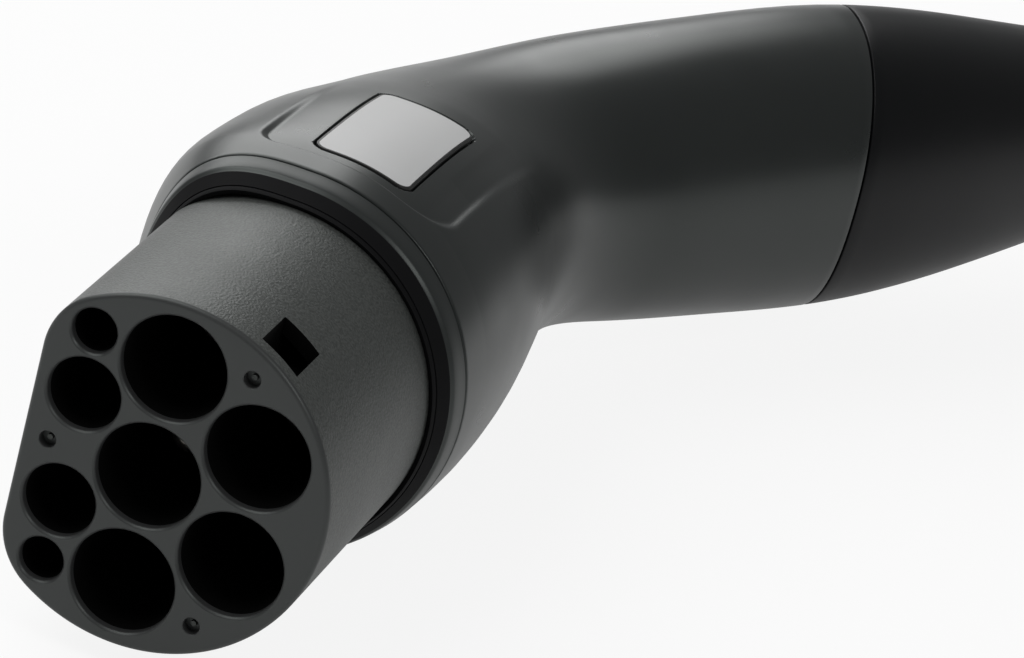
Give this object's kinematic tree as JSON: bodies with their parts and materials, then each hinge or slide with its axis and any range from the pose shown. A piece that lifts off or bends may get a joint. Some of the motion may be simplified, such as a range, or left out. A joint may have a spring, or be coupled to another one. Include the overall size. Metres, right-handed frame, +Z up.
{
  "type": "ev charging plug",
  "caption": "Handheld charging plug: round contact nose with one flat side, deep contact holes, side lock windows, bulbous front and bent hollow grip with a cable opening.",
  "frame": {"origin": "under the middle of the plug's bounding box, on the surface it rests on", "axes": "+X from the mating face back into the plug, +Y the flat side of the nose (the grip bends to -Y), +Z up through the side with the label plate"},
  "size_m": [0.2814, 0.1296, 0.0636],
  "materials": {
    "nose_plastic": "fine spark-textured moulding, dark grey",
    "contact_metal": "silver-plated turned brass",
    "inner_plastic": "plain dark moulding",
    "screw_steel": "zinc-plated steel",
    "resistor": "lacquered body, tinned leads",
    "seal_rubber": "soft black rubber",
    "ring_plastic": "satin black moulding",
    "housing_plastic": "semi-gloss black moulding",
    "cap_plastic": "semi-gloss black moulding",
    "label": "satin silver plate, bare"
  },
  "bodies": {
    "root": {"contact_carrier": "nose_plastic", "pin_pe": "contact_metal", "pin_n": "contact_metal", "pin_l1": "contact_metal", "pin_l2": "contact_metal", "pin_l3": "contact_metal", "pin_cp": "contact_metal", "pin_pp": "contact_metal", "contact_retainer": "inner_plastic", "retainer_screws": "screw_steel", "coding_resistor": "resistor", "carrier_seal": "seal_rubber", "front_ring": "ring_plastic", "face_seal": "seal_rubber", "housing": "housing_plastic", "label_plate": "label", "rear_cap": "cap_plastic", "cap_seal": "seal_rubber", "cable_seal": "seal_rubber", "clamp_saddle": "inner_plastic", "clamp_bridge": "inner_plastic", "clamp_screws": "screw_steel"}
  },
  "joints": []
}
